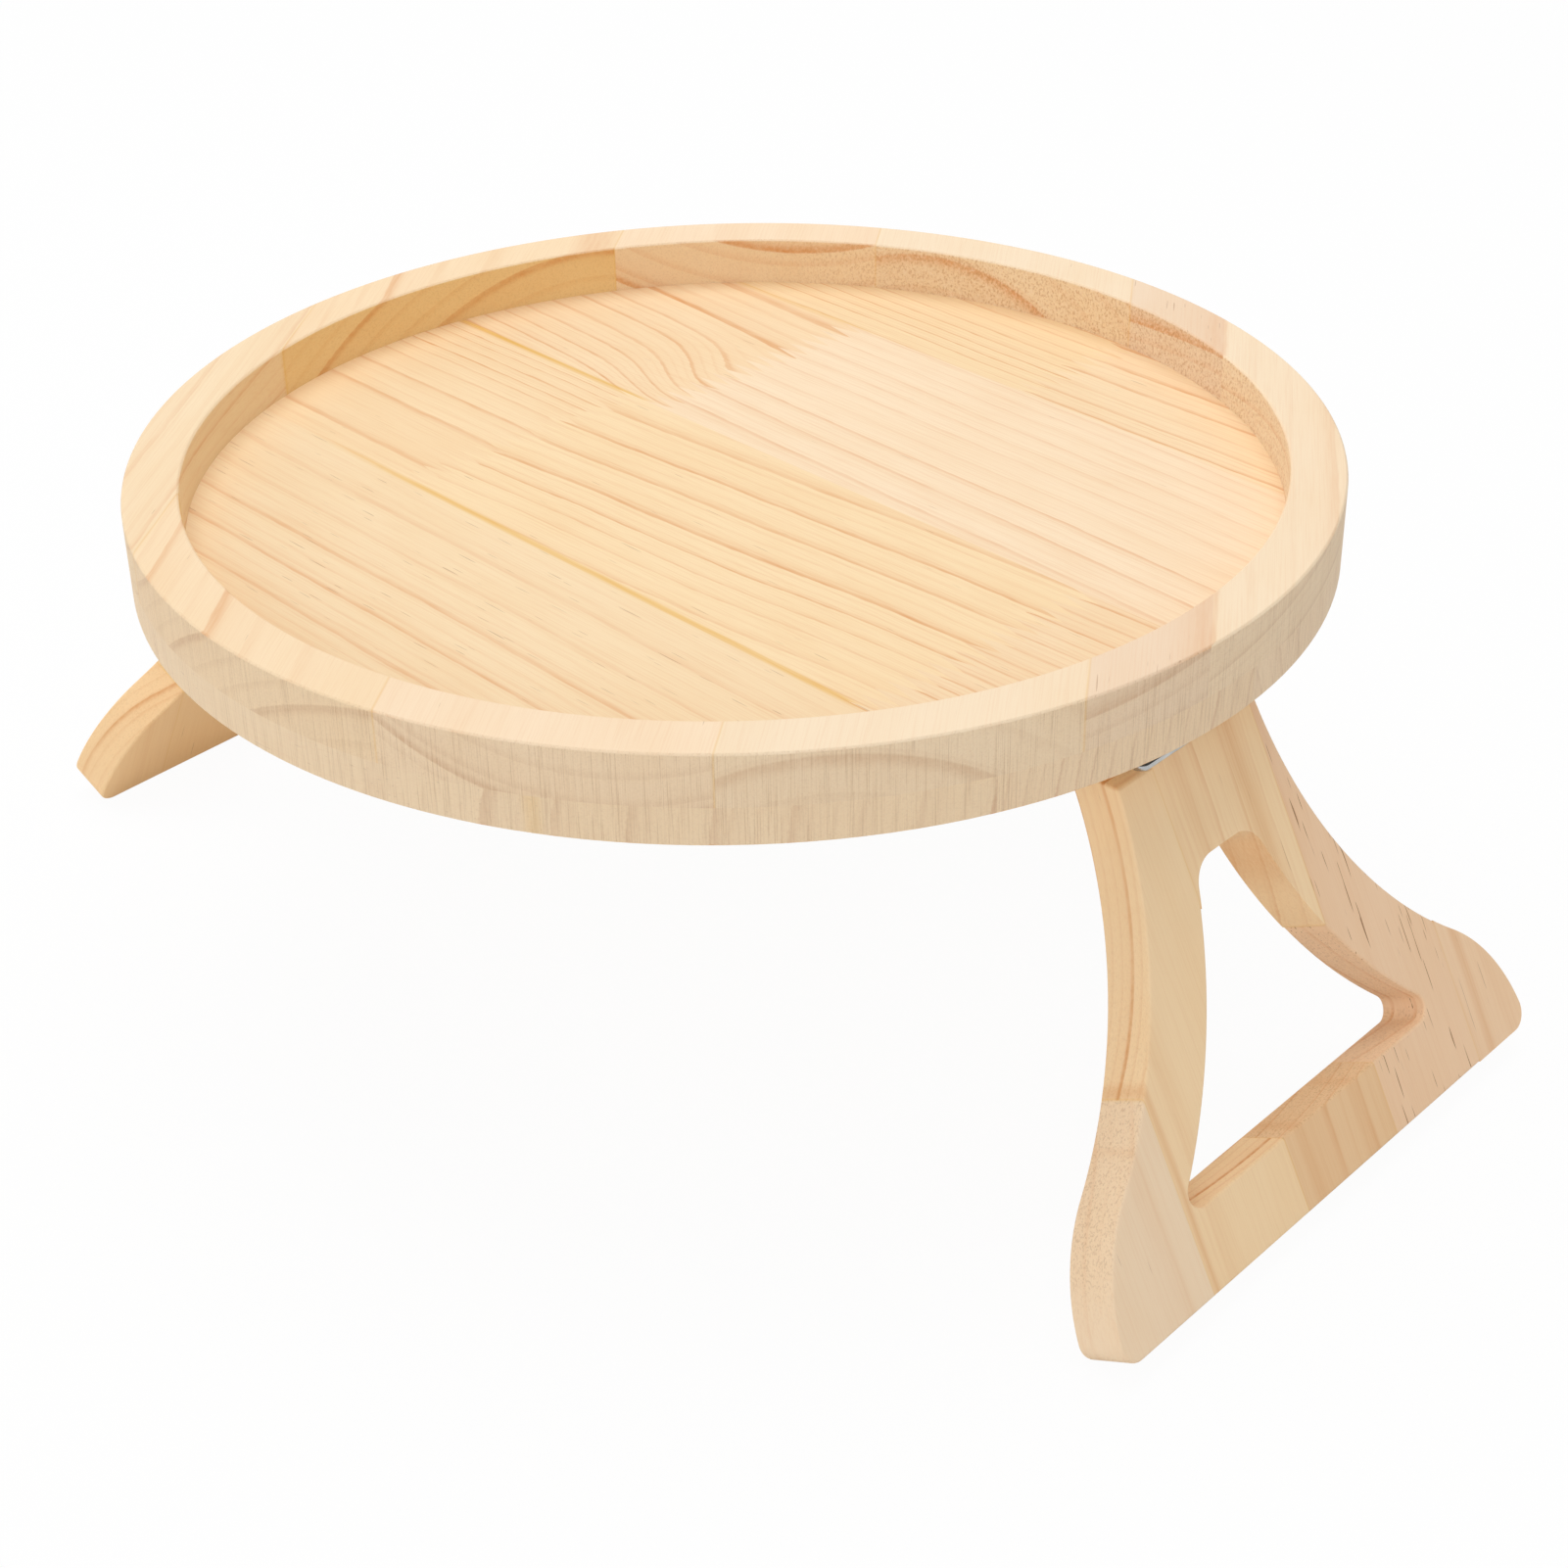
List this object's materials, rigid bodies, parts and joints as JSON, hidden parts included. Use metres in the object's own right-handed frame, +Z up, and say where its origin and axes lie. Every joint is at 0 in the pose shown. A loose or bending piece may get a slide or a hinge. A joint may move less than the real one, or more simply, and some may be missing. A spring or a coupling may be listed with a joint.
{
  "type": "sofa arm tray",
  "caption": "Round pine tray with a raised rim on two splayed, spring-hinged folding legs that straddle the arm of a sofa.",
  "frame": {"origin": "on the surface that the feet stand on, below the middle of the tray", "axes": "+Z up; +X towards the right leg, from hinge to hinge; +Y along the arm of the sofa, away from the viewer"},
  "size_m": [0.3804, 0.3, 0.1395],
  "materials": {
    "base_pine": "sanded, matt",
    "rim_pine": "sanded, matt",
    "leg_pine": "sanded, matt",
    "hinge_steel": "bright zinc plate, satin",
    "spring_steel": "drawn wire, satin",
    "screw_steel": "bright zinc plate, satin"
  },
  "bodies": {
    "tray": {"base_strip_1": "base_pine", "base_strip_2": "base_pine", "base_strip_3": "base_pine", "base_strip_4": "base_pine", "base_strip_5": "base_pine", "base_strip_6": "base_pine", "base_strip_7": "base_pine", "base_strip_8": "base_pine", "base_strip_9": "base_pine", "rim_segment_1": "rim_pine", "rim_segment_2": "rim_pine", "rim_segment_3": "rim_pine", "rim_segment_4": "rim_pine", "rim_segment_5": "rim_pine", "rim_segment_6": "rim_pine", "rim_segment_7": "rim_pine", "rim_segment_8": "rim_pine", "rim_segment_9": "rim_pine", "rim_segment_10": "rim_pine", "rim_segment_11": "rim_pine", "rim_segment_12": "rim_pine", "right_hinge_bracket": "hinge_steel", "right_hinge_pin": "hinge_steel", "right_hinge_spring": "spring_steel", "right_tray_screws": "screw_steel", "left_hinge_bracket": "hinge_steel", "left_hinge_pin": "hinge_steel", "left_hinge_spring": "spring_steel", "left_tray_screws": "screw_steel"},
    "right_leg": {"right_leg_toe_strip": "leg_pine", "right_leg_toe_strut": "leg_pine", "right_leg_head_block": "leg_pine", "right_leg_foot_rail": "leg_pine", "right_leg_heel_strut": "leg_pine", "right_leg_heel_strip": "leg_pine", "right_hinge_leaf": "hinge_steel", "right_leg_screws": "screw_steel"},
    "left_leg": {"left_leg_toe_strip": "leg_pine", "left_leg_toe_strut": "leg_pine", "left_leg_head_block": "leg_pine", "left_leg_foot_rail": "leg_pine", "left_leg_heel_strut": "leg_pine", "left_leg_heel_strip": "leg_pine", "left_hinge_leaf": "hinge_steel", "left_leg_screws": "screw_steel"}
  },
  "joints": [
    {"name": "right_leg_fold", "type": "hinge", "parent": "tray", "child": "right_leg", "pos_m": [0.126, 0, 0.11167], "axis": [0, 1, 0], "range_deg": [0, 117], "stiffness_Nm_per_rad": 0.0245, "springref_deg": 139.8, "deforming": ["right_hinge_spring"]},
    {"name": "left_leg_fold", "type": "hinge", "parent": "tray", "child": "left_leg", "pos_m": [-0.126, 0, 0.11167], "axis": [0, -1, 0], "range_deg": [0, 117], "stiffness_Nm_per_rad": 0.0245, "springref_deg": 139.8, "deforming": ["left_hinge_spring"]}
  ]
}
